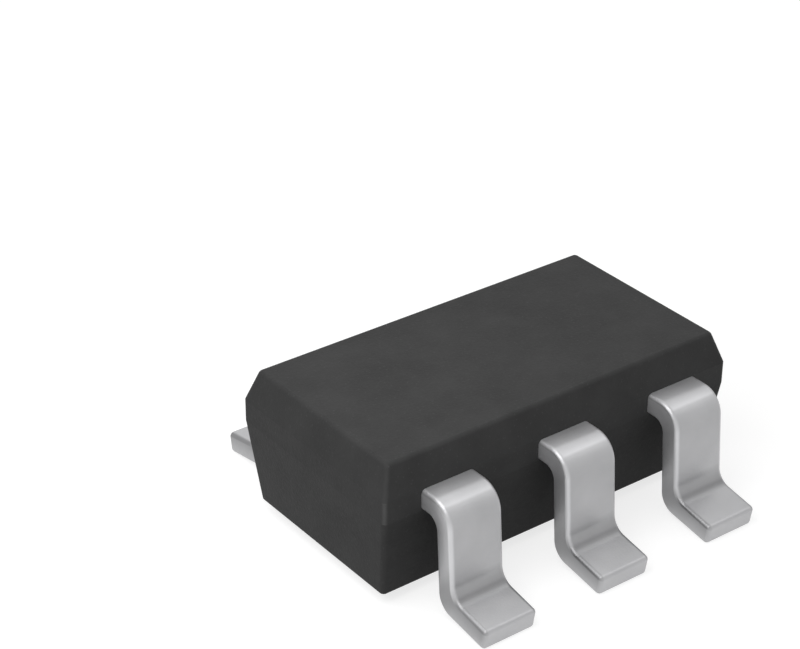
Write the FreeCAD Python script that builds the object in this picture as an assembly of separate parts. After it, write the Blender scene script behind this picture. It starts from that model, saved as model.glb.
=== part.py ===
import FreeCAD, Part
import math
import os

# Five-lead surface-mount memory chip in a moulded plastic body.
# Millimetres. Z = 0 is the board that the feet stand on, and X = Y = 0 is the centre of the body.
# X runs along the body. Pins 1 to 3 leave it towards -Y, pins 4 and 5 towards +Y.

# Moulded body: a vertical band at the parting line, with a drafted part below and a bevel above.
BODY_LENGTH = 2.900
BODY_WIDTH = 1.559
BODY_HEIGHT = 1.003
STANDOFF = 0.082
BAND_HEIGHT = 0.160
UPPER_HEIGHT = 0.225
TOP_INSET_X = 0.075
TOP_INSET_Y = 0.072
BOTTOM_INSET_X = 0.059
BOTTOM_INSET_Y = 0.094
BODY_CORNER_RADIUS = 0.036
TOP_RIM_RADIUS = 0.034
BOTTOM_RIM_RADIUS = 0.028

# Gull-wing leads, cut and formed from one sheet.
PIN_PITCH = 0.95
LEAD_SPAN = 2.88
LEAD_WIDTH = 0.42
LEAD_THICKNESS = 0.153
WEB_REACH = 1.093
WEB_LEAN = 4.3
FOOT_ANGLE = 9.3
SHOULDER_INSIDE_RADIUS = 0.082
SHOULDER_OUTSIDE_RADIUS = 0.175
INSTEP_RADIUS = 0.118
HEEL_RADIUS = 0.134
LEAD_EDGE_BREAK = 0.019

# Inner ends of the leads, held in the plastic.
INNER_DEPTH = 0.48
NECK_LENGTH = 0.15
ANCHOR_STEP = 0.05
FINGER_TIP_X = 0.70
INNER_CORNER_RADIUS = 0.035
SEAM_OVERLAP = 0.015

# Die paddle on the lead of pin 2, pressed down below the plane of the leads.
PADDLE_LENGTH = 1.24
PADDLE_WIDTH = 0.82
PADDLE_CENTRE_Y = 0.05
PADDLE_DROP = 0.18
DROP_RUN = 0.18
DROP_BEND_RADIUS = 0.02

# Silicon die, and the film that glues it to the paddle.
DIE_LENGTH = 0.80
DIE_WIDTH = 0.62
DIE_THICKNESS = 0.15
FILM_THICKNESS = 0.02
FILM_MARGIN = 0.03
FILM_SLOPE = 0.02

# Gold bond wires: a flat ball on the die, a loop, and a stitch pressed onto the lead.
WIRE_DIAMETER = 0.025
BALL_DIAMETER = 0.070
BALL_HEIGHT = 0.022
LOOP_HEIGHT = 0.11
LOOP_BEND_RADIUS = 0.045
STITCH_LENGTH = 0.06
STITCH_SINK = 0.006
PAD_INSET = 0.09
STITCH_INSET = 0.12
GROUND_STITCH_DEPTH = 0.075

# Places that follow from the sizes above.
BODY_TOP = STANDOFF + BODY_HEIGHT
BAND_HIGH = BODY_TOP - UPPER_HEIGHT
BAND_LOW = BAND_HIGH - BAND_HEIGHT
LEAD_MIDDLE = (BAND_LOW + BAND_HIGH) / 2
LEAD_TOP = LEAD_MIDDLE + LEAD_THICKNESS / 2
LEAD_BOTTOM = LEAD_MIDDLE - LEAD_THICKNESS / 2
BODY_SIDE = BODY_WIDTH / 2
PADDLE_TOP = LEAD_TOP - PADDLE_DROP
PADDLE_BOTTOM = PADDLE_TOP - LEAD_THICKNESS
PADDLE_EDGE_Y = PADDLE_CENTRE_Y - PADDLE_WIDTH / 2
DIE_BASE = PADDLE_TOP + FILM_THICKNESS
DIE_TOP = DIE_BASE + DIE_THICKNESS
ROW_ENDS = BODY_SIDE - INNER_DEPTH
NECK_END_Y = BODY_SIDE - NECK_LENGTH
STRIP_END_Y = BODY_SIDE - NECK_LENGTH / 2
INNER_START_Y = STRIP_END_Y + SEAM_OVERLAP
SMALL = 1e-6


def vector(x, y, z):
    """A point or direction in space."""
    return FreeCAD.Vector(x, y, z)


def meeting_point(first, first_angle, second, second_angle):
    """Where two lines of the Y-Z plane cross, each given by a point and its angle in degrees."""
    ay = math.cos(math.radians(first_angle))
    az = math.sin(math.radians(first_angle))
    by = math.cos(math.radians(second_angle))
    bz = math.sin(math.radians(second_angle))
    gap = second - first
    along = (gap.y * bz - gap.z * by) / (ay * bz - az * by)
    return vector(0, first.y + along * ay, first.z + along * az)


def corner_arc(before, corner, after, radius):
    """The start, middle and end of the arc that rounds a corner, kept within both sides."""
    back = before - corner
    ahead = after - corner
    half = back.getAngle(ahead) / 2
    room = 0.49 * min(back.Length, ahead.Length)
    reach = min(radius / math.tan(half), room)
    held = reach * math.tan(half)
    back.normalize()
    ahead.normalize()
    inward = back + ahead
    inward.normalize()
    middle = corner + inward * (held / math.sin(half) - held)
    return corner + back * reach, middle, corner + ahead * reach


def rounded_path(corners, closed):
    """Lines and tangent arcs through corners, each given as a point and its radius."""
    count = len(corners)
    stops = []
    for index, (point, radius) in enumerate(corners):
        at_end = not closed and index in (0, count - 1)
        if radius == 0 or at_end:
            stops.append((point, None, point))
        else:
            before = corners[index - 1][0]
            after = corners[(index + 1) % count][0]
            stops.append(corner_arc(before, point, after, radius))
    edges = []
    for index, (start, middle, end) in enumerate(stops):
        if middle is not None:
            edges.append(Part.Arc(start, middle, end).toShape())
        following = stops[(index + 1) % count][0]
        last = not closed and index == count - 1
        if not last and end.distanceToPoint(following) > SMALL:
            edges.append(Part.LineSegment(end, following).toShape())
    return Part.Wire(edges)


def rounded_rectangle(half_x, half_y, radius, z):
    """A flat rectangle with rounded corners, centred on the Z axis."""
    signs = [(-1, -1), (1, -1), (1, 1), (-1, 1)]
    corners = [(vector(sx * half_x, sy * half_y, z), radius) for sx, sy in signs]
    return rounded_path(corners, True)


def plate(outline, bottom, thickness):
    """A flat plate with rounded plan corners, from a list of (x, y, radius)."""
    corners = [(vector(x, y, bottom), radius) for x, y, radius in outline]
    return Part.Face(rounded_path(corners, True)).extrude(vector(0, 0, thickness))


def edges_at_height(shape, z):
    """The edges of a shape that lie flat at one height."""
    found = []
    for edge in shape.Edges:
        box = edge.BoundBox
        if box.ZLength < SMALL and abs(box.ZMin - z) < SMALL:
            found.append(edge)
    return found


def body_blank():
    """The outside of the moulded body: one loft with a draft, a band and a bevel, and rounded rims."""
    half_x = BODY_LENGTH / 2
    half_y = BODY_WIDTH / 2
    sections = [
        (half_x - BOTTOM_INSET_X, half_y - BOTTOM_INSET_Y, STANDOFF),
        (half_x, half_y, BAND_LOW),
        (half_x, half_y, BAND_HIGH),
        (half_x - TOP_INSET_X, half_y - TOP_INSET_Y, BODY_TOP),
    ]
    wires = [rounded_rectangle(x, y, BODY_CORNER_RADIUS, z) for x, y, z in sections]
    blank = Part.makeLoft(wires, True, True)
    blank = blank.makeFillet(TOP_RIM_RADIUS, edges_at_height(blank, BODY_TOP))
    return blank.makeFillet(BOTTOM_RIM_RADIUS, edges_at_height(blank, STANDOFF))


def edge_break():
    """The width taken off a lead's edges, limited by the sheet that they are on."""
    return min(LEAD_EDGE_BREAK, 0.4 * LEAD_THICKNESS)


def lead_outline():
    """Side view of the formed strip, from just inside the body to the toe, towards -Y."""
    shoulder = vector(0, 0, LEAD_TOP)
    under_shoulder = vector(0, 0, LEAD_BOTTOM)
    lean = math.radians(WEB_LEAN)
    slope = math.radians(FOOT_ANGLE)
    web = vector(0, -WEB_REACH, LEAD_MIDDLE / 2)
    behind_web = web + vector(0, math.cos(lean), -math.sin(lean)) * LEAD_THICKNESS
    web_angle = 90 - WEB_LEAN
    sunk = edge_break() * math.sin(slope)
    toe_y = -(LEAD_SPAN / 2 - LEAD_THICKNESS * math.sin(slope))
    toe_bottom = vector(0, toe_y, -sunk)
    toe_top = toe_bottom + vector(0, -math.sin(slope), math.cos(slope)) * LEAD_THICKNESS
    inner_y = -STRIP_END_Y
    bend_top = meeting_point(shoulder, 0, web, web_angle)
    bend_under = meeting_point(under_shoulder, 0, behind_web, web_angle)
    instep = meeting_point(toe_top, FOOT_ANGLE, web, web_angle)
    heel = meeting_point(toe_bottom, FOOT_ANGLE, behind_web, web_angle)
    return [
        (vector(0, inner_y, LEAD_TOP), 0),
        (bend_top, SHOULDER_OUTSIDE_RADIUS),
        (instep, INSTEP_RADIUS),
        (toe_top, 0),
        (toe_bottom, 0),
        (heel, HEEL_RADIUS),
        (bend_under, SHOULDER_INSIDE_RADIUS),
        (vector(0, inner_y, LEAD_BOTTOM), 0),
    ]


def formed_strip():
    """The visible gull wing, centred on X = 0, with its long edges and its toe broken."""
    outline = lead_outline()
    inner_y = outline[0][0].y
    toe_y = outline[4][0].y
    face = Part.Face(rounded_path(outline, True))
    face.translate(vector(-LEAD_WIDTH / 2, 0, 0))
    strip = face.extrude(vector(LEAD_WIDTH, 0, 0))
    sharp = []
    for edge in strip.Edges:
        box = edge.BoundBox
        on_side = box.XLength < SMALL
        at_inner_end = box.YLength < SMALL and abs(box.YMin - inner_y) < SMALL
        at_toe = box.YMax < toe_y + SMALL
        if (on_side and not at_inner_end) or at_toe:
            sharp.append(edge)
    return strip.makeChamfer(edge_break(), sharp)


def signal_lead():
    """Pin 3: a formed strip whose inner end widens into an anchor with a finger for its wire."""
    inner = -ROW_ENDS
    neck_end = -NECK_END_Y
    outer_side = PIN_PITCH + LEAD_WIDTH / 2
    inner_side = PIN_PITCH - LEAD_WIDTH / 2
    neck_start = -INNER_START_Y
    anchor = plate(
        [
            (inner_side, neck_start, 0),
            (outer_side, neck_start, 0),
            (outer_side, neck_end, 0),
            (outer_side + ANCHOR_STEP, neck_end, INNER_CORNER_RADIUS),
            (outer_side + ANCHOR_STEP, inner, INNER_CORNER_RADIUS),
            (FINGER_TIP_X, inner, INNER_CORNER_RADIUS),
            (FINGER_TIP_X, neck_end, INNER_CORNER_RADIUS),
            (inner_side, neck_end, 0),
        ],
        LEAD_BOTTOM,
        LEAD_THICKNESS,
    )
    strip = formed_strip()
    strip.translate(vector(PIN_PITCH, 0, 0))
    return strip.fuse(anchor).removeSplitter()


def paddle_lead():
    """Pin 2: a formed strip that runs in, steps down and widens into the die paddle."""
    neck_start = -INNER_START_Y
    drop_start = PADDLE_EDGE_Y - DROP_RUN
    overlap_end = PADDLE_EDGE_Y + 2 * INNER_CORNER_RADIUS
    outer = DROP_BEND_RADIUS + LEAD_THICKNESS
    shift = LEAD_THICKNESS * math.tan(math.atan2(PADDLE_DROP, DROP_RUN) / 2)
    step = [
        (vector(0, neck_start, LEAD_TOP), 0),
        (vector(0, drop_start, LEAD_TOP), outer),
        (vector(0, PADDLE_EDGE_Y, PADDLE_TOP), DROP_BEND_RADIUS),
        (vector(0, overlap_end, PADDLE_TOP), 0),
        (vector(0, overlap_end, PADDLE_BOTTOM), 0),
        (vector(0, PADDLE_EDGE_Y - shift, PADDLE_BOTTOM), outer),
        (vector(0, drop_start - shift, LEAD_BOTTOM), DROP_BEND_RADIUS),
        (vector(0, neck_start, LEAD_BOTTOM), 0),
    ]
    face = Part.Face(rounded_path(step, True))
    face.translate(vector(-LEAD_WIDTH / 2, 0, 0))
    ramp = face.extrude(vector(LEAD_WIDTH, 0, 0))
    outline = rounded_rectangle(PADDLE_LENGTH / 2, PADDLE_WIDTH / 2, INNER_CORNER_RADIUS, PADDLE_BOTTOM)
    paddle = Part.Face(outline).extrude(vector(0, 0, LEAD_THICKNESS))
    paddle.translate(vector(0, PADDLE_CENTRE_Y, 0))
    return formed_strip().fuse([ramp, paddle]).removeSplitter()


def mirrored(shape):
    """A copy of a shape on the other side of the X = 0 plane."""
    return shape.mirror(vector(0, 0, 0), vector(1, 0, 0))


def turned(shape):
    """A copy of a shape turned half way round the Z axis, onto the other row of pins."""
    copy = shape.copy()
    copy.rotate(vector(0, 0, 0), vector(0, 0, 1), 180)
    return copy


def memory_die():
    """The silicon die, centred on the paddle."""
    corner = vector(-DIE_LENGTH / 2, PADDLE_CENTRE_Y - DIE_WIDTH / 2, DIE_BASE)
    return Part.makeBox(DIE_LENGTH, DIE_WIDTH, DIE_THICKNESS, corner)


def die_attach():
    """The film of adhesive under the die, with its edge sloping out to the paddle."""
    half_x = DIE_LENGTH / 2 + FILM_MARGIN - FILM_SLOPE
    half_y = DIE_WIDTH / 2 + FILM_MARGIN - FILM_SLOPE
    low = rounded_rectangle(half_x + FILM_SLOPE, half_y + FILM_SLOPE, FILM_MARGIN, PADDLE_TOP)
    high = rounded_rectangle(half_x, half_y, FILM_MARGIN, DIE_BASE)
    film = Part.makeLoft([low, high], True, True)
    film.translate(vector(0, PADDLE_CENTRE_Y, 0))
    return film


def wire_path(corners):
    """The centre line of a wire: straight runs, with each corner cut by a short run."""
    points = [corners[0]]
    for before, corner, after in zip(corners, corners[1:], corners[2:]):
        start, _, end = corner_arc(before, corner, after, LOOP_BEND_RADIUS)
        points.extend([start, end])
    points.append(corners[-1])
    return Part.makePolygon(points)


def bond_wire(pad_x, pad_y, stitch_x, stitch_y, lead):
    """One gold wire in the upright plane through its ball and its stitch, seated on its lead."""
    ball_at = vector(pad_x, pad_y, DIE_TOP)
    ahead = vector(stitch_x - pad_x, stitch_y - pad_y, 0).normalize()
    radius = WIRE_DIAMETER / 2
    crown = DIE_TOP + LOOP_HEIGHT - radius
    rest = vector(stitch_x, stitch_y, LEAD_TOP + radius - STITCH_SINK)
    corners = [
        ball_at + vector(0, 0, BALL_HEIGHT / 2),
        vector(pad_x, pad_y, crown),
        rest - ahead * STITCH_LENGTH,
        rest,
    ]
    circle = Part.Circle(corners[0], vector(0, 0, 1), radius).toShape()
    loop = wire_path(corners).makePipeShell([Part.Wire(circle)], True, True, 1)
    ball = Part.makeCylinder(BALL_DIAMETER / 2, BALL_HEIGHT, ball_at)
    return loop.fuse(ball).cut(lead).removeSplitter()


def bond_wires(leads):
    """The five wires, by pin number."""
    pad_x = DIE_LENGTH / 2 - PAD_INSET
    near_y = PADDLE_CENTRE_Y - DIE_WIDTH / 2 + PAD_INSET
    far_y = PADDLE_CENTRE_Y + DIE_WIDTH / 2 - PAD_INSET
    stitch_x = FINGER_TIP_X + STITCH_INSET
    stitch_y = ROW_ENDS + STITCH_INSET
    ground_y = -(BODY_SIDE - GROUND_STITCH_DEPTH)
    ends = {
        1: (-pad_x, near_y, -stitch_x, -stitch_y),
        2: (0, near_y, 0, ground_y),
        3: (pad_x, near_y, stitch_x, -stitch_y),
        4: (pad_x, far_y, stitch_x, stitch_y),
        5: (-pad_x, far_y, -stitch_x, stitch_y),
    }
    return {pin: bond_wire(*places, leads[pin]) for pin, places in ends.items()}


def write(name, shape):
    """Saves one piece, under the name that it has in the assembly."""
    shape.exportStep("parts/" + name + ".step")
    print(name, len(shape.Solids), "solid", round(shape.Volume, 5), "mm3", shape.isValid())


def main():
    """Builds every piece and moulds the body round the ones inside it."""
    os.makedirs("parts", exist_ok=True)
    pin_3 = signal_lead()
    pin_1 = mirrored(pin_3)
    leads = {1: pin_1, 2: paddle_lead(), 3: pin_3, 4: turned(pin_1), 5: turned(pin_3)}
    wires = bond_wires(leads)
    die = memory_die()
    film = die_attach()
    inside = list(leads.values()) + list(wires.values()) + [die, film]
    body = body_blank().cut(inside)
    write("moulded_body", body)
    for pin, lead in leads.items():
        write("pin_" + str(pin) + "_lead", lead)
    for pin, wire in wires.items():
        write("bond_wire_" + str(pin), wire)
    write("memory_die", die)
    write("die_attach", film)


main()
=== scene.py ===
"""A five-lead surface-mount memory chip, dressed for a studio photograph.

Sizes are in millimetres until a mesh is finished, and in metres from then on. The chip stands on
Z = 0, X runs along its body, and pins 1 to 3 leave the body towards -Y.
"""
import logging
import math
from dataclasses import astuple, dataclass, field
from enum import Enum

import bmesh
import bpy
from mathutils import Matrix, Vector


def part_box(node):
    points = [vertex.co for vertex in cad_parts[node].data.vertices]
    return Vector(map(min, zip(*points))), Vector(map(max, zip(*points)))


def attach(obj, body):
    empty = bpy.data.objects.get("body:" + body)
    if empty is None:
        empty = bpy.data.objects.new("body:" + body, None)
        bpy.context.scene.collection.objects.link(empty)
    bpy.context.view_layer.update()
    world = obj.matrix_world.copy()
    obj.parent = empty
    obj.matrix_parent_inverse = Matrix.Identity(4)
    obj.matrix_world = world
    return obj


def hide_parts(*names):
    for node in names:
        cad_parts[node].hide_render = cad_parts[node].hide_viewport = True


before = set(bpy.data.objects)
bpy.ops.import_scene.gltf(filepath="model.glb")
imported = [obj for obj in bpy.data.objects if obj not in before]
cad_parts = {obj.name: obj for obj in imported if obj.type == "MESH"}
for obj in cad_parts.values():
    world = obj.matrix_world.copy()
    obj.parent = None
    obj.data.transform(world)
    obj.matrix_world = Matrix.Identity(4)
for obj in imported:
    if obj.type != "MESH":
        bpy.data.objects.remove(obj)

LOG = logging.getLogger("memory_chip")
MM = 0.001
QUARTER_TURN = math.pi / 2
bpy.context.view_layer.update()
# The mesh attribute whose tone paints highlights and shade into the base colours.
PAINTED_TONE = "painted_light_tone"
FLATS_FIRST = 100

Colour = tuple[float, float, float, float]
Range = tuple[float, float]
Ring = list[Vector]
Triple = tuple[float, float, float]


class Row(Enum):
    """The long side of the body that a lead leaves from, as the sign of its Y."""

    NEAR = -1
    FAR = 1


class Slot(Enum):
    """The material slots of the record."""

    MOULD = "mould_compound"
    TIN = "tinned_lead"
    SILICON = "silicon"
    GLUE = "die_glue"
    GOLD = "gold_wire"


def grey(level: float) -> Colour:
    """A neutral colour of one linear level."""
    return (level, level, level, 1.0)


def seen_rays(tree: bpy.types.NodeTree) -> bpy.types.NodeSocket:
    """Adds nodes that tell the rays that show a thing from the rays that light one.

    Args:
        tree: The node tree that they go into.

    Returns:
        The output that is 1 for camera, mirror and clear-glass rays, and 0 for all others.
    """
    rays = tree.nodes.new("ShaderNodeLightPath")
    seen = rays.outputs["Is Camera Ray"]
    for name in ("Is Glossy Ray", "Is Transmission Ray"):
        either = tree.nodes.new("ShaderNodeMath")
        either.operation = "MAXIMUM"
        tree.links.new(seen, either.inputs[0])
        tree.links.new(rays.outputs[name], either.inputs[1])
        seen = either.outputs["Value"]
    return seen


def placed(name: str, data: bpy.types.ID) -> bpy.types.Object:
    """Makes an object and links it into the scene.

    Args:
        name: The object's name.
        data: Its mesh, lamp or camera.

    Returns:
        The new object.
    """
    thing = bpy.data.objects.new(name, data)
    bpy.context.scene.collection.objects.link(thing)
    return thing


def direction(azimuth: float, elevation: float) -> Vector:
    """The way from the chip to a lamp or a camera that looks at it.

    Args:
        azimuth: Degrees round the chip, 0 towards -Y and 90 towards +X.
        elevation: Degrees over the board.

    Returns:
        The unit vector.
    """
    turn = math.radians(azimuth)
    rise = math.radians(elevation)
    flat = math.cos(rise)
    return Vector((math.sin(turn) * flat, -math.cos(turn) * flat, math.sin(rise)))


@dataclass(frozen=True)
class Grain:
    """How fine a noise is: its features in a millimetre, its octaves and how strong they stay."""

    per_mm: float
    octaves: float
    rough: float


class ShaderBench:
    """One material's node tree, with short calls that add and join its nodes."""

    def __init__(self, name: str) -> None:
        """Starts an empty tree with an output and a principled shader.

        Args:
            name: The material's name.
        """
        self.material = bpy.data.materials.new(name)
        self.material.use_nodes = True
        self.tree = self.material.node_tree
        self.tree.nodes.clear()
        self.shader = self.add("ShaderNodeBsdfPrincipled")
        self.join(self.shader, "BSDF", self.add("ShaderNodeOutputMaterial"), "Surface")

    def add(self, kind: str, **settings: object) -> bpy.types.Node:
        """Adds a node.

        Args:
            kind: The node's type name.
            **settings: Properties of the node, by their names.

        Returns:
            The new node.
        """
        node = self.tree.nodes.new(kind)
        for key, value in settings.items():
            setattr(node, key, value)
        return node

    def join(self, source: bpy.types.Node, out: str, target: bpy.types.Node, into: str) -> None:
        """Links an output of one node to an input of another, by their names."""
        self.tree.links.new(source.outputs[out], target.inputs[into])

    def millimetres(self) -> bpy.types.Node:
        """Adds object coordinates counted in millimetres.

        Returns:
            The mapping node that gives them.
        """
        place = self.add("ShaderNodeTexCoord")
        scale = self.add("ShaderNodeMapping")
        scale.inputs["Scale"].default_value = (1 / MM, 1 / MM, 1 / MM)
        self.join(place, "Object", scale, "Vector")
        return scale

    def noise(self, place: bpy.types.Node, grain: Grain) -> bpy.types.Node:
        """Adds a noise texture.

        Args:
            place: The node that gives its coordinates.
            grain: How fine it is.

        Returns:
            The noise node.
        """
        node = self.add("ShaderNodeTexNoise")
        node.inputs["Scale"].default_value = grain.per_mm
        node.inputs["Detail"].default_value = grain.octaves
        node.inputs["Roughness"].default_value = grain.rough
        self.join(place, "Vector", node, "Vector")
        return node

    def ramp(
        self, source: bpy.types.Node, out: str, reach: Range, low: Colour, high: Colour
    ) -> bpy.types.Node:
        """Adds a ramp from one colour to another.

        Args:
            source: The node whose value it reads.
            out: The name of that node's output.
            reach: The values where the ramp starts and ends.
            low: The colour up to its start.
            high: The colour from its end on.

        Returns:
            The ramp node.
        """
        node = self.add("ShaderNodeValToRGB")
        for element, place, colour in zip(node.color_ramp.elements, reach, (low, high)):
            element.position = place
            element.color = colour
        self.join(source, out, node, "Fac")
        return node

    def vary_gloss(self, source: bpy.types.Node, reach: Range) -> None:
        """Lets a noise vary the shader's roughness.

        Args:
            source: The noise node.
            reach: The roughness where the noise is 0 and where it is 1.
        """
        node = self.add("ShaderNodeMapRange")
        node.inputs["To Min"].default_value, node.inputs["To Max"].default_value = reach
        self.join(source, "Fac", node, "Value")
        self.join(node, "Result", self.shader, "Roughness")

    def relief(self, *layers: tuple[bpy.types.Node, float]) -> None:
        """Lays bumps over each other and gives them to the shader.

        Args:
            *layers: Each bump's noise and its height in millimetres, the lowest layer first.
        """
        below = None
        for source, height in layers:
            bump = self.add("ShaderNodeBump")
            bump.inputs["Strength"].default_value = 1.0
            bump.inputs["Distance"].default_value = height * MM
            self.join(source, "Fac", bump, "Height")
            if below is not None:
                self.join(below, "Normal", bump, "Normal")
            below = bump
        self.join(below, "Normal", self.shader, "Normal")

    def toned_base(self, source: bpy.types.Node, out: str) -> None:
        """Scales a colour by the painted highlight and painted shade of the mesh's tone, and makes
        it the shader's base colour.

        Args:
            source: The node that gives the colour.
            out: The name of that node's output.
        """
        tone = self.add("ShaderNodeAttribute", attribute_type="GEOMETRY", attribute_name=PAINTED_TONE)
        toned = self.add("ShaderNodeVectorMath", operation="SCALE")
        self.join(source, out, toned, "Vector")
        self.join(tone, "Fac", toned, "Scale")
        self.join(toned, "Vector", self.shader, "Base Color")

    def plain(self, **values: float | Colour) -> None:
        """Sets the shader's own sockets, by their names with _ for a space."""
        for key, value in values.items():
            self.shader.inputs[key.replace("_", " ")].default_value = value


@dataclass(frozen=True)
class MouldFinish:
    """Dark epoxy mould compound with a spark-eroded matte skin and grains of filler."""

    dark: float = 0.0325
    light: float = 0.0425
    mottle: Grain = Grain(3.0, 4.0, 0.6)
    mottle_reach: Range = (0.3, 0.7)
    filler_level: float = 0.062
    filler_per_mm: float = 28.0
    filler_radius: float = 0.22
    filler_share: float = 0.55
    grain: Grain = Grain(45.0, 3.0, 0.65)
    roughness: Range = (0.54, 0.70)
    wave_height: float = 0.0010
    grain_height: float = 0.0022
    specular: float = 0.12
    ior: float = 1.5

    def make(self) -> bpy.types.Material:
        """Builds the material: mottled grey, sparse pale filler, and a fine two-scale grain.

        Returns:
            The new material.
        """
        bench = ShaderBench("mould_compound_matte")
        place = bench.millimetres()
        mottle = bench.noise(place, self.mottle)
        base = bench.ramp(mottle, "Fac", self.mottle_reach, grey(self.dark), grey(self.light))
        filler = bench.add("ShaderNodeTexVoronoi")
        filler.inputs["Scale"].default_value = self.filler_per_mm
        bench.join(place, "Vector", filler, "Vector")
        filler_reach = (0.0, self.filler_radius)
        spots = bench.ramp(filler, "Distance", filler_reach, grey(self.filler_share), grey(0.0))
        mixed = bench.add("ShaderNodeMix", data_type="RGBA")
        bench.join(spots, "Color", mixed, "Factor")
        bench.join(base, "Color", mixed, "A")
        mixed.inputs["B"].default_value = grey(self.filler_level)
        # The body's tone paints paler sides and a highlight on the corners into the compound.
        bench.toned_base(mixed, "Result")
        grain = bench.noise(place, self.grain)
        bench.vary_gloss(grain, self.roughness)
        bench.relief((mottle, self.wave_height), (grain, self.grain_height))
        bench.plain(Specular_IOR_Level=self.specular, IOR=self.ior)
        return bench.material


@dataclass(frozen=True)
class TinFinish:
    """Matte tin plating: a soft metal with fine crystals, with painted highlights and shade from
    the leads' tones.
    """

    shade: float = 0.450
    bright: float = 0.490
    tint: float = 0.010
    cloud: Grain = Grain(4.0, 3.0, 0.55)
    cloud_reach: Range = (0.3, 0.7)
    crystal: Grain = Grain(60.0, 2.0, 0.6)
    roughness: Range = (0.36, 0.44)
    cloud_height: float = 0.0012
    crystal_height: float = 0.0010
    metallic: float = 0.73

    def make(self) -> bpy.types.Material:
        """Builds the material: cloudy grey metal whose gloss and height vary with its crystals.

        Returns:
            The new material.
        """
        bench = ShaderBench("tin_plating_matte")
        place = bench.millimetres()
        cloud = bench.noise(place, self.cloud)
        low = (self.shade, self.shade, self.shade + self.tint, 1.0)
        high = (self.bright, self.bright, self.bright + self.tint, 1.0)
        base = bench.ramp(cloud, "Fac", self.cloud_reach, low, high)
        # The leads' tone paints highlights and shade onto the plating.
        bench.toned_base(base, "Color")
        crystal = bench.noise(place, self.crystal)
        bench.vary_gloss(crystal, self.roughness)
        bench.relief((cloud, self.cloud_height), (crystal, self.crystal_height))
        bench.plain(Metallic=self.metallic)
        return bench.material


@dataclass(frozen=True)
class SealedFinish:
    """One of the plain finishes of the pieces that the body hides."""

    name: str
    low: Colour
    high: Colour
    metallic: float
    roughness: Range
    grain: Grain
    height: float
    reach: Range = (0.35, 0.65)

    def make(self) -> bpy.types.Material:
        """Builds the material: one noise drives its colour, gloss and height.

        Returns:
            The new material.
        """
        bench = ShaderBench(self.name)
        grain = bench.noise(bench.millimetres(), self.grain)
        base = bench.ramp(grain, "Fac", self.reach, self.low, self.high)
        bench.join(base, "Color", bench.shader, "Base Color")
        bench.vary_gloss(grain, self.roughness)
        bench.relief((grain, self.height))
        bench.plain(Metallic=self.metallic)
        return bench.material


@dataclass(frozen=True)
class FloorFinish:
    """The pale studio floor, which shows white to the camera and keeps the chip's shadow."""

    colour: float = 0.37
    lift: float = 0.76
    roughness: float = 0.9

    def make(self) -> bpy.types.Material:
        """Builds the material: a diffuse grey, lifted to white for the camera and for mirror rays.

        Returns:
            The new material.
        """
        bench = ShaderBench("studio_floor")
        bench.plain(Base_Color=grey(self.colour), Roughness=self.roughness, Specular_IOR_Level=0.0)
        bench.plain(Emission_Color=grey(1.0))
        strength = bench.add("ShaderNodeMath", operation="MULTIPLY")
        bench.tree.links.new(seen_rays(bench.tree), strength.inputs[0])
        strength.inputs[1].default_value = self.lift
        bench.join(strength, "Value", bench.shader, "Emission Strength")
        return bench.material


def arc_round(
    before: Vector, corner: Vector, after: Vector, radius: float, steps: int
) -> list[Vector]:
    """Points of the arc that rounds a corner.

    Args:
        before: A point on the side that leads into the corner.
        corner: The sharp corner.
        after: A point on the side that leads out of it.
        radius: The arc's radius.
        steps: How many spans the arc has.

    Returns:
        The arc's points, from the side before to the side after.
    """
    back = (before - corner).normalized()
    ahead = (after - corner).normalized()
    half = back.angle(ahead) / 2
    centre = corner + (back + ahead).normalized() * (radius / math.sin(half))
    start = corner + back * (radius / math.tan(half)) - centre
    end = corner + ahead * (radius / math.tan(half)) - centre
    turn = start.angle(end)
    points = []
    for step in range(steps + 1):
        part = step / steps
        spread = start * math.sin((1 - part) * turn) + end * math.sin(part * turn)
        points.append(centre + spread / math.sin(turn))
    return points


def rounded_path(corners: list[Vector], radii: tuple[float, ...], steps: int) -> list[Vector]:
    """A path whose inner corners are rounded.

    Args:
        corners: The path's sharp corners, with a point at either end.
        radii: The radius at each corner between the two ends.
        steps: How many spans each arc has.

    Returns:
        The points of the arcs, in order and without the two ends.
    """
    points = []
    for index, radius in enumerate(radii):
        before, corner, after = corners[index:index + 3]
        points += arc_round(before, corner, after, radius, steps)
    return points


def meeting(first: Vector, along: Vector, second: Vector, across: Vector) -> Vector:
    """Where two lines of one plane cross.

    Args:
        first: A point of the first line, in (y, z).
        along: The first line's direction.
        second: A point of the second line.
        across: The second line's direction.

    Returns:
        The point that both lines share.
    """
    gap = second - first
    share = (gap.x * across.y - gap.y * across.x) / (along.x * across.y - along.y * across.x)
    return first + along * share


def rounded_section(half_x: float, half_y: float, radius: float, steps: int) -> list[Triple]:
    """A rounded rectangle's outline.

    Args:
        half_x: Half its first side.
        half_y: Half its second side.
        radius: The radius of its corners.
        steps: How many spans each corner has.

    Returns:
        Each point's two coordinates, and how far it is turned from the first side to the second:
        0 where it faces along the first axis and 1 where it faces along the second.
    """
    points = []
    for quarter in range(4):
        sign_x = 1 if quarter in (0, 3) else -1
        sign_y = 1 if quarter in (0, 1) else -1
        for step in range(steps + 1):
            angle = (quarter + step / steps) * QUARTER_TURN
            x = sign_x * (half_x - radius) + radius * math.cos(angle)
            y = sign_y * (half_y - radius) + radius * math.sin(angle)
            points.append((x, y, math.sin(angle) ** 2))
    return points


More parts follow.
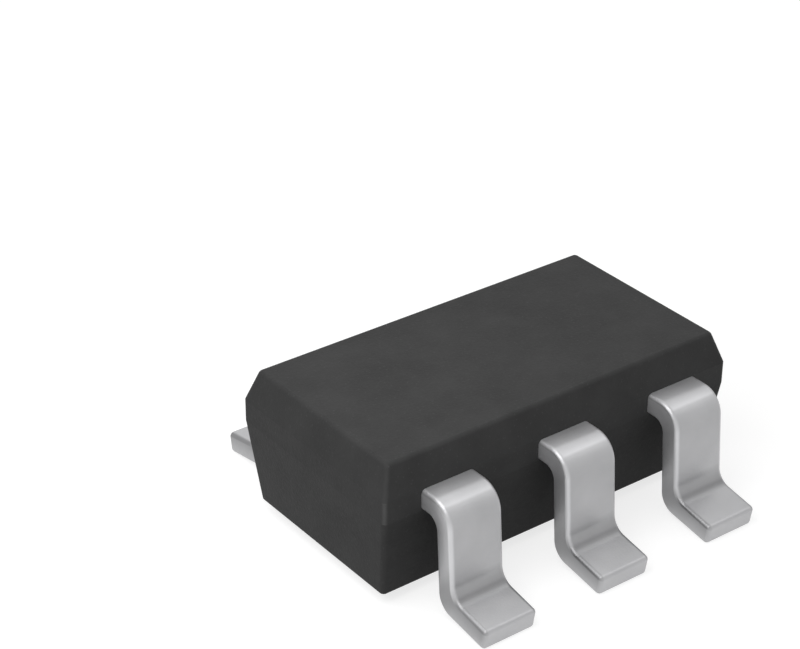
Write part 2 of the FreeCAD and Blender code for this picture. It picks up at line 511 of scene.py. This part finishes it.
@dataclass
class RingSkin:
    """A closed skin over a row of rings with the same number of points, each with its tone of
    painted highlight and shade.
    """

    rings: list[Ring]
    tones: list[list[float]]

    def build(self, name: str, material: bpy.types.Material) -> bpy.types.Object:
        """Makes the skin's object, in metres.

        Args:
            name: The object's name.
            material: What it is dressed in.

        Returns:
            The new object, linked into the scene and smooth but for its flats.
        """
        mesh = bmesh.new()
        layer = mesh.verts.layers.float.new(PAINTED_TONE)
        rows = [[mesh.verts.new(point * MM) for point in ring] for ring in self.rings]
        for row, tones in zip(rows, self.tones):
            for vertex, tone in zip(row, tones):
                vertex[layer] = tone
        for lower, upper in zip(rows, rows[1:]):
            for index in range(len(lower)):
                following = (index + 1) % len(lower)
                mesh.faces.new((lower[index], lower[following], upper[following], upper[index]))
        mesh.faces.new(rows[0][::-1])
        mesh.faces.new(rows[-1])
        bmesh.ops.recalc_face_normals(mesh, faces=mesh.faces)
        data = bpy.data.meshes.new(name)
        mesh.to_mesh(data)
        mesh.free()
        data.shade_smooth()
        data.materials.append(material)
        piece = placed(name, data)
        even = piece.modifiers.new("flats_stay_flat", "WEIGHTED_NORMAL")
        even.weight = FLATS_FIRST
        even.keep_sharp = True
        return piece


@dataclass
class MouldedBody:
    """The epoxy body: a drafted lower part, an upright band at the parting line and a bevel above.

    Its painted light makes the long sides and the band paler, and paints a highlight on the upright
    corners: at the bottom, under the band, on the band, over the band and at the top.
    """

    finish: MouldFinish = field(default_factory=MouldFinish)
    band_height: float = 0.160
    upper_height: float = 0.225
    end_insets: Range = (0.059, 0.075)
    side_insets: Range = (0.094, 0.072)
    corner_radius: float = 0.036
    least_corner_radius: float = 0.004
    top_rim_radius: float = 0.034
    bottom_rim_radius: float = 0.028
    band_edge_radius: float = 0.012
    # Painted light: paler long sides and band, and a painted highlight along the upright corners.
    side_painted_light: tuple[float, ...] = (0.0, 0.12, 0.30, 0.10, 0.0)
    corner_painted_highlight: tuple[float, ...] = (0.0, 0.20, 1.1, 0.20, 0.0)
    arc_steps: int = 8

    def profile(self, half: float, insets: Range, low: float, high: float) -> list[Vector]:
        """One side's outline in (reach, height), from the flat bottom to the flat top.

        Args:
            half: The side's reach at the band.
            insets: How much less it is at the bottom and at the top.
            low: The height of the bottom.
            high: The height of the top.

        Returns:
            The outline's points, with its four edges rounded.
        """
        bottom_inset, top_inset = insets
        band_high = high - self.upper_height
        band_low = band_high - self.band_height
        corners = [
            Vector((0.0, low)),
            Vector((half - bottom_inset, low)),
            Vector((half, band_low)),
            Vector((half, band_high)),
            Vector((half - top_inset, high)),
            Vector((0.0, high)),
        ]
        band_edge = self.band_edge_radius
        radii = (self.bottom_rim_radius, band_edge, band_edge, self.top_rim_radius)
        return rounded_path(corners, radii, self.arc_steps)

    def corner_at(self, index: int, last: int) -> float:
        """The radius of the upright corners at a level of the profile.

        Args:
            index: The level's number, from the bottom.
            last: The number of the top level.

        Returns:
            The full radius, or less of it where the rims turn in.
        """
        turned = min(index, last - index) / self.arc_steps
        rim_radius = self.bottom_rim_radius if index < last / 2 else self.top_rim_radius
        shrink = rim_radius * (1 - math.sin(min(turned, 1.0) * QUARTER_TURN))
        return max(self.corner_radius - shrink, self.least_corner_radius)

    def painted_light_at(self, index: int) -> Range:
        """How much painted light pales the compound at a level of the profile.

        Args:
            index: The level's number, from the bottom.

        Returns:
            What it adds to the tone of the long sides, and to that of the corners.
        """
        edge, step = divmod(index, self.arc_steps + 1)
        part = step / self.arc_steps
        side, corner = (
            knots[edge] + (knots[edge + 1] - knots[edge]) * part
            for knots in (self.side_painted_light, self.corner_painted_highlight)
        )
        return side, corner

    def build(self) -> bpy.types.Object:
        """Lofts rounded rectangles through the profiles of the long and the short sides.

        Returns:
            The body's object, in place of its node.
        """
        low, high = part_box("moulded_body")
        floor = low.z / MM
        roof = high.z / MM
        end = self.profile(high.x / MM, self.end_insets, floor, roof)
        side = self.profile(high.y / MM, self.side_insets, floor, roof)
        skin = RingSkin([], [])
        for index, (across, along) in enumerate(zip(end, side)):
            radius = self.corner_at(index, len(end) - 1)
            side_painted_light, corner_painted_highlight = self.painted_light_at(index)
            ring = []
            tones = []
            for x, y, facing in rounded_section(across.x, along.x, radius, self.arc_steps):
                # 0 on both sides and 1 in the middle of the corner between them.
                on_corner = 4 * facing * (1 - facing)
                ring.append(Vector((x, y, across.y + (along.y - across.y) * facing)))
                # Painted light: the long sides pale, and a painted highlight in the middle of each
                # corner.
                tones.append(1 + side_painted_light * facing + corner_painted_highlight * on_corner)
            skin.rings.append(ring)
            skin.tones.append(tones)
        piece = skin.build("moulded_body_skin", self.finish.make())
        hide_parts("moulded_body")
        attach(piece, "root")
        return piece


@dataclass(frozen=True)
class Tones:
    """Factors of painted highlight and painted shade on the plating's colour round a section of a
    lead.

    They hold for its upper face, its two upper edges, the upper ends of its sides, and the rest.
    """

    face: float = 1.0
    edge: float = 1.0
    flank: float = 1.0
    rest: float = 1.0

    def towards(self, other: "Tones", share: float) -> "Tones":
        """Mixes these tones with others.

        Args:
            other: The tones at a share of 1.
            share: How far to go towards them.

        Returns:
            The mixed tones.
        """
        pairs = zip(astuple(self), astuple(other))
        return Tones(*(low + (high - low) * share for low, high in pairs))


@dataclass(frozen=True)
class PaintedLeadLight:
    """Painted highlight and painted shade on the plating of a lead.

    It paints the outside of the bend, the edges of the web and the toe brighter, as highlights, and
    the instep, the lower sides and the edges of the foot darker, as shade. A place counts from 0 to
    1 over the bend, to 2 down the web, to 3 round the instep, to 4 along the foot and to 5 round
    the toe.
    """

    # Painted highlight over the bend, the web's edges and the toe; painted shade in the instep,
    # lower sides and foot edges.
    knots: tuple[tuple[float, Tones], ...] = (
        (0.00, Tones(1.00, 1.00, 1.40, 1.40)),
        (0.36, Tones(1.16, 0.90, 1.38, 1.38)),
        (0.42, Tones(0.95, 0.88, 1.34, 1.34)),
        (1.00, Tones(0.94, 1.32, 1.02, 1.02)),
        (1.60, Tones(0.98, 1.34, 0.96, 0.96)),
        (1.92, Tones(0.98, 1.28, 0.68, 0.64)),
        (2.00, Tones(0.84, 1.25, 0.64, 0.60)),
        (2.42, Tones(0.66, 0.95, 0.61, 0.64)),
        (2.60, Tones(0.42, 0.70, 0.61, 0.72)),
        (2.72, Tones(0.48, 0.58, 0.62, 0.80)),
        (2.95, Tones(0.92, 0.50, 0.64, 0.94)),
        (4.00, Tones(0.94, 0.50, 0.66, 0.97)),
        (4.50, Tones(0.92, 0.78, 0.95, 1.03)),
        (5.00, Tones(1.09, 1.06, 1.08, 1.08)),
    )

    def at(self, place: float) -> Tones:
        """Reads the tones at a place along the lead.

        Args:
            place: From 0 at the bend's start to 5 at the toe's face.

        Returns:
            The tones there.
        """
        for (start, low), (end, high) in zip(self.knots, self.knots[1:]):
            if place <= end:
                return low.towards(high, (place - start) / (end - start))
        return self.knots[-1][1]


@dataclass(frozen=True)
class Station:
    """One cross-section of a formed lead: its upper and lower points in (y, z), sides and
    painted-light tones.
    """

    upper: Vector
    lower: Vector
    left: float
    right: float
    inset: float = 0.0
    tones: Tones = Tones()


@dataclass
class FormedLead:
    """A gull-wing lead cut and bent from one sheet, with its anchor inside the body."""

    pin: int
    centre_x: float
    row: Row
    finish: bpy.types.Material
    width: float = 0.42
    thickness: float = 0.153
    span: float = 2.88
    web_reach: float = 1.093
    web_lean: float = 4.3
    foot_angle: float = 9.3
    shoulder_inside: float = 0.082
    shoulder_outside: float = 0.175
    instep_radius: float = 0.118
    heel_radius: float = 0.134
    edge_radius: float = 0.032
    toe_radius: float = 0.030
    shoulder_middle: float = 0.780
    body_side: float = 0.7795
    neck_length: float = 0.15
    inner_depth: float = 0.48
    anchor_step: float = 0.05
    finger_tip_x: float = 0.70
    inner_radius: float = 0.035
    inner_turns: tuple[float, ...] = (0.0, 0.35, 0.7, 1.0)
    neck_flare: float = 0.001
    least_edge_radius: float = 0.0005
    bend_steps: int = 14
    web_steps: int = 10
    edge_steps: int = 6
    edge_blend: int = 2
    # Painted highlights and shade on the plating.
    painted_tones: PaintedLeadLight = PaintedLeadLight()

    @property
    def name(self) -> str:
        """The lead's node in the record."""
        return f"pin_{self.pin}_lead"

    @property
    def sides(self) -> Range:
        """The left and right sides of the strip that the gull wing is formed from."""
        return self.centre_x - self.width / 2, self.centre_x + self.width / 2

    @property
    def shoulder_top(self) -> float:
        """The height of the shoulder's upper face."""
        return self.shoulder_middle + self.thickness / 2

    def corners(self) -> tuple[list[Vector], list[Vector]]:
        """Works out the sharp profile of a lead towards -Y, in (y, z).

        Returns:
            Four corners of the upper face and four of the lower face: inside the body, at the
            bend, at the instep or heel, and at the toe.
        """
        lean = math.radians(self.web_lean)
        slope = math.radians(self.foot_angle)
        level = Vector((1.0, 0.0))
        web_way = Vector((math.sin(lean), math.cos(lean)))
        foot_way = Vector((math.cos(slope), math.sin(slope)))
        top = Vector((0.0, self.shoulder_top))
        under = Vector((0.0, self.shoulder_middle - self.thickness / 2))
        web = Vector((-self.web_reach, self.shoulder_middle / 2))
        behind = web + Vector((math.cos(lean), -math.sin(lean))) * self.thickness
        sunk = self.toe_radius * (math.sin(slope) + math.cos(slope) - 1)
        toe_y = -(self.span / 2 - self.thickness * math.sin(slope))
        toe_under = Vector((toe_y, -sunk))
        toe_top = toe_under + Vector((-math.sin(slope), math.cos(slope))) * self.thickness
        bend_top = meeting(top, level, web, web_way)
        bend_under = meeting(under, level, behind, web_way)
        instep = meeting(toe_top, foot_way, web, web_way)
        heel = meeting(toe_under, foot_way, behind, web_way)
        return [top, bend_top, instep, toe_top], [under, bend_under, heel, toe_under]

    def formed_part(self) -> list[Station]:
        """Lays out the visible gull wing of a lead towards -Y.

        Returns:
            Its stations, from the body to the toe.
        """
        upper, lower = self.corners()
        above = rounded_path(upper, (self.shoulder_outside, self.instep_radius), self.bend_steps)
        below = rounded_path(lower, (self.shoulder_inside, self.heel_radius), self.bend_steps)
        pairs = list(zip(above, below))
        bend = pairs[:self.bend_steps + 1]
        instep = pairs[self.bend_steps + 1:]
        at_body = tuple(Vector((-self.body_side, face[0].y)) for face in (upper, lower))
        rows = [(0.0, at_body)]
        rows += [(step / self.bend_steps, pair) for step, pair in enumerate(bend)]
        for step in range(1, self.web_steps):
            part = step / self.web_steps
            pair = tuple(high.lerp(low, part) for high, low in zip(bend[-1], instep[0]))
            rows.append((1 + part, pair))
        rows += [(2 + step / self.bend_steps, pair) for step, pair in enumerate(instep)]
        stations = [Station(*pair, *self.sides, 0.0, self.painted_tones.at(place)) for place, pair in rows]
        return stations + self.toe_stations(upper[-1], lower[-1])

    def toe_stations(self, top: Vector, under: Vector) -> list[Station]:
        """Lays out the rounding of the toe's cut face.

        Args:
            top: The toe's upper corner.
            under: Its lower corner.

        Returns:
            Its stations, from where the rounding starts to the cut face.
        """
        slope = math.radians(self.foot_angle)
        foot_way = Vector((math.cos(slope), math.sin(slope)))
        stations = []
        for step in range(self.edge_steps + 1):
            part = step / self.edge_steps
            back = foot_way * (self.toe_radius * (1 - math.sin(part * QUARTER_TURN)))
            inset = self.toe_radius * (1 - math.cos(part * QUARTER_TURN))
            tones = self.painted_tones.at(4 + part)
            stations.append(Station(top + back, under + back, *self.sides, inset, tones))
        return stations

    def rounded_plate(self, inner: float, outer: float, left: float, right: float) -> list[Triple]:
        """Rounds the plan corners of a flat plate.

        Args:
            inner: The y of its inner end.
            outer: The y of its outer end, which is the lower one.
            left: The x of its left side.
            right: The x of its right side.

        Returns:
            Each row's y and its left and right sides, from the inner end outwards.
        """
        rows = []
        for y, way, turns in ((inner, -1, self.inner_turns), (outer, 1, self.inner_turns[::-1])):
            for turn in turns:
                cut = self.inner_radius * (1 - math.sin(turn * QUARTER_TURN))
                back = self.inner_radius * (1 - math.cos(turn * QUARTER_TURN))
                rows.append((y + way * back, left + cut, right - cut))
        return rows

    def flat_stations(self, rows: list[Triple], top: float) -> list[Station]:
        """Lays out a level sheet inside the body.

        Args:
            rows: Each station's y and its left and right sides.
            top: The height of the sheet's upper face.

        Returns:
            The stations, in the order of the rows.
        """
        return [
            Station(Vector((y, top)), Vector((y, top - self.thickness)), left, right)
            for y, left, right in rows
        ]

    def inner_part(self) -> list[Station]:
        """Lays out the anchor and its bond finger, which the body holds.

        Returns:
            Their stations, from the inner end to the body's side.
        """
        inner = self.inner_depth - self.body_side
        neck = self.neck_length - self.body_side
        outward = 1 if self.centre_x > 0 else -1
        wide = self.centre_x + outward * (self.width / 2 + self.anchor_step)
        left, right = sorted((wide, outward * self.finger_tip_x))
        rows = self.rounded_plate(inner, neck, left, right)
        rows.append((neck - self.neck_flare, *self.sides))
        return self.flat_stations(rows, self.shoulder_top)

    def ring(self, station: Station) -> Ring:
        """Draws the closed cross-section at a station, with its long edges rounded.

        Args:
            station: Where the section is taken.

        Returns:
            The section's points, in order.
        """
        up = station.upper - station.lower
        thick = up.length
        up.normalize()
        middle = (station.upper + station.lower) / 2
        half_x = (station.right - station.left) / 2 - station.inset
        half_t = thick / 2 - station.inset
        centre_x = (station.right + station.left) / 2
        radius = max(self.edge_radius - station.inset, self.least_edge_radius)
        points = []
        for x, t, _ in rounded_section(half_x, half_t, radius, self.edge_steps):
            place = middle + up * t
            points.append(Vector((centre_x + x, place.x, place.y)))
        return points

    def tone_ring(self, tones: Tones) -> list[float]:
        """Says how much painted highlight or shade tones the plating at each point of a section.

        Args:
            tones: The section's tones.

        Returns:
            The factor for each point of the section, in the order of its ring.
        """
        up_from_side = [tones.flank]
        for step in range(1, self.edge_steps + 1):
            share = min(1.0, (self.edge_steps - step) / self.edge_blend)
            up_from_side.append(tones.face + (tones.edge - tones.face) * share)
        return up_from_side + up_from_side[::-1] + [tones.rest] * (2 * self.edge_steps + 2)

    def build(self) -> bpy.types.Object:
        """Skins the stations, and turns the lead onto its own row.

        Returns:
            The lead's object, in place of its node.
        """
        stations = self.inner_part() + self.formed_part()
        rings = [self.ring(station) for station in stations]
        for ring in rings:
            for point in ring:
                point.y *= -self.row.value
        skin = RingSkin(rings, [self.tone_ring(station.tones) for station in stations])
        piece = skin.build(f"pin_{self.pin}_formed_lead", self.finish)
        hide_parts(self.name)
        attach(piece, "root")
        return piece


@dataclass
class PaddleLead(FormedLead):
    """The middle lead, which runs in, steps down and widens into the die paddle."""

    paddle_length: float = 1.24
    paddle_width: float = 0.82
    paddle_centre_y: float = 0.05
    drop: float = 0.18
    drop_run: float = 0.18
    drop_bend: float = 0.02
    drop_steps: int = 6

    def inner_part(self) -> list[Station]:
        """Lays out the paddle and the ramp that it steps down by.

        Returns:
            Their stations, from the paddle's far end to the body's side.
        """
        near = self.paddle_centre_y - self.paddle_width / 2
        far = self.paddle_centre_y + self.paddle_width / 2
        half = self.paddle_length / 2
        top = self.shoulder_top
        low = top - self.drop
        stations = self.flat_stations(self.rounded_plate(far, near, -half, half), low)
        start = near - self.drop_run
        outer_bend = self.drop_bend + self.thickness
        shift = self.thickness * math.tan(math.atan2(self.drop, self.drop_run) / 2)
        upper = [(far, low), (near, low), (start, top), (-self.body_side, top)]
        lower = [(y - shift, z - self.thickness) for y, z in upper]
        above = rounded_path(
            [Vector(corner) for corner in upper], (self.drop_bend, outer_bend), self.drop_steps
        )
        below = rounded_path(
            [Vector(corner) for corner in lower], (outer_bend, self.drop_bend), self.drop_steps
        )
        stations += [Station(*pair, *self.sides) for pair in zip(above, below)]
        return stations


@dataclass
class PhotoCamera:
    """The camera of the photograph, fitted to the chip's own edges."""

    azimuth: float = -37.27
    elevation: float = 29.77
    roll: float = 0.40
    distance: float = 14.42
    aim: Triple = (-0.744, 0.0, 1.5385)
    focal_pixels: float = 2258.0
    image_width: float = 800.0
    sensor: float = 36.0
    near_clip: float = 0.5
    far_clip: float = 1000.0

    def build(self) -> bpy.types.Object:
        """Makes the camera and gives it to the scene.

        Returns:
            The camera's object.
        """
        turn = math.radians(self.azimuth)
        lean = math.radians(self.roll)
        back = direction(self.azimuth, self.elevation)
        right = Vector((math.cos(turn), math.sin(turn), 0.0))
        up = back.cross(right)
        across = right * math.cos(lean) + up * math.sin(lean)
        above = up * math.cos(lean) - right * math.sin(lean)
        data = bpy.data.cameras.new("photo_camera")
        data.sensor_width = self.sensor
        data.lens = self.sensor * self.focal_pixels / self.image_width
        data.clip_start = self.near_clip * MM
        data.clip_end = self.far_clip * MM
        place = Matrix((across, above, back)).transposed().to_4x4()
        place.translation = (Vector(self.aim) + back * self.distance) * MM
        camera = placed("photo_camera", data)
        camera.matrix_world = place
        bpy.context.scene.camera = camera
        return camera


@dataclass(frozen=True)
class Softbox:
    """One square area lamp that looks at the chip from a direction."""

    name: str
    azimuth: float
    elevation: float
    distance: float
    size: float
    lux: float

    def build(self) -> bpy.types.Object:
        """Makes the lamp, with the power that gives its lux at the chip.

        Returns:
            The lamp's object.
        """
        back = direction(self.azimuth, self.elevation)
        reach = self.distance * MM
        data = bpy.data.lights.new(self.name, "AREA")
        data.shape = "SQUARE"
        data.size = self.size * MM
        data.energy = self.lux * math.pi * reach ** 2
        lamp = placed(self.name, data)
        lamp.location = back * reach
        lamp.rotation_mode = "QUATERNION"
        lamp.rotation_quaternion = back.to_track_quat("Z", "Y")
        return lamp


@dataclass
class Studio:
    """The floor, the soft lamps and the pale surroundings."""

    floor_finish: FloorFinish = field(default_factory=FloorFinish)
    floor_half: float = 110.0
    sky: float = 0.47
    lamps: tuple[Softbox, ...] = (
        Softbox("key_softbox", azimuth=-78.0, elevation=54.0, distance=7.2, size=5.6, lux=1.70),
        Softbox("top_softbox", azimuth=65.0, elevation=55.0, distance=60.0, size=34.0, lux=0.20),
        Softbox("back_softbox", azimuth=165.0, elevation=50.0, distance=26.0, size=22.0, lux=0.38),
    )

    def build_floor(self) -> bpy.types.Object:
        """Makes the floor that the chip stands on, outside the part itself.

        Returns:
            The floor's object.
        """
        half = self.floor_half * MM
        corners = [(x * half, y * half, 0.0) for x, y in ((-1, -1), (1, -1), (1, 1), (-1, 1))]
        data = bpy.data.meshes.new("studio_floor")
        data.from_pydata(corners, [], [(0, 1, 2, 3)])
        data.materials.append(self.floor_finish.make())
        floor = placed("studio_floor", data)
        return floor

    def build_world(self) -> None:
        """Lights the scene evenly, and shows white to the camera and to mirror rays."""
        world = bpy.data.worlds.new("studio_surroundings")
        world.use_nodes = True
        bpy.context.scene.world = world
        nodes = world.node_tree.nodes
        links = world.node_tree.links
        nodes.clear()
        strength = nodes.new("ShaderNodeMapRange")
        strength.inputs["To Min"].default_value = self.sky
        strength.inputs["To Max"].default_value = 1.0
        links.new(seen_rays(world.node_tree), strength.inputs["Value"])
        glow = nodes.new("ShaderNodeBackground")
        glow.inputs["Color"].default_value = grey(1.0)
        links.new(strength.outputs["Result"], glow.inputs["Strength"])
        output = nodes.new("ShaderNodeOutputWorld")
        links.new(glow.outputs["Background"], output.inputs["Surface"])

    def build(self) -> list[bpy.types.Object]:
        """Makes the floor, the surroundings and the lamps, and sets the plain view.

        Returns:
            The floor and the lamps.
        """
        floor = self.build_floor()
        self.build_world()
        bpy.context.scene.view_settings.view_transform = "Standard"
        return [floor] + [lamp.build() for lamp in self.lamps]


@dataclass
class SealedPieces:
    """The die, its glue and the gold wires, which keep their own solids under new finishes."""

    silicon: SealedFinish = SealedFinish(
        name="silicon_passivated",
        low=(0.10, 0.12, 0.18, 1.0),
        high=(0.16, 0.18, 0.25, 1.0),
        metallic=0.6,
        roughness=(0.12, 0.22),
        grain=Grain(8.0, 3.0, 0.6),
        height=0.0003,
    )
    glue: SealedFinish = SealedFinish(
        name="silver_glue",
        low=(0.42, 0.40, 0.37, 1.0),
        high=(0.60, 0.58, 0.54, 1.0),
        metallic=0.7,
        roughness=(0.35, 0.55),
        grain=Grain(60.0, 3.0, 0.6),
        height=0.0010,
    )
    gold: SealedFinish = SealedFinish(
        name="gold_drawn",
        low=(0.86, 0.56, 0.18, 1.0),
        high=(0.94, 0.66, 0.26, 1.0),
        metallic=1.0,
        roughness=(0.18, 0.28),
        grain=Grain(90.0, 3.0, 0.6),
        height=0.0002,
    )
    wires: int = 5

    def dress(self) -> list[bpy.types.Object]:
        """Gives each sealed node its finish.

        Returns:
            The nodes.
        """
        gold = self.gold.make()
        finishes = {"memory_die": self.silicon.make(), "die_attach": self.glue.make()}
        for pin in range(1, self.wires + 1):
            finishes[f"bond_wire_{pin}"] = gold
        for node, finish in finishes.items():
            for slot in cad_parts[node].material_slots:
                slot.material = finish
        return [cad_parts[node] for node in finishes]


@dataclass
class MemoryChip:
    """The whole chip: its body, its five leads and what the body seals in."""

    pitch: float = 0.95

    def build(self) -> list[bpy.types.Object]:
        """Builds every piece in order.

        Returns:
            The body, the leads and the sealed pieces.
        """
        body = MouldedBody().build()
        tin = TinFinish().make()
        leads = [
            FormedLead(1, -self.pitch, Row.NEAR, tin),
            PaddleLead(2, 0.0, Row.NEAR, tin),
            FormedLead(3, self.pitch, Row.NEAR, tin),
            FormedLead(4, self.pitch, Row.FAR, tin),
            FormedLead(5, -self.pitch, Row.FAR, tin),
        ]
        return [body] + [lead.build() for lead in leads] + SealedPieces().dress()


def main() -> None:
    """Builds the chip, then the studio and the camera round it, and reports each piece."""
    logging.basicConfig(level=logging.INFO)
    for piece in [*MemoryChip().build(), *Studio().build(), PhotoCamera().build()]:
        LOG.info("%s: %s", piece.name, piece.type.lower())


if __name__ == "__main__":
    main()
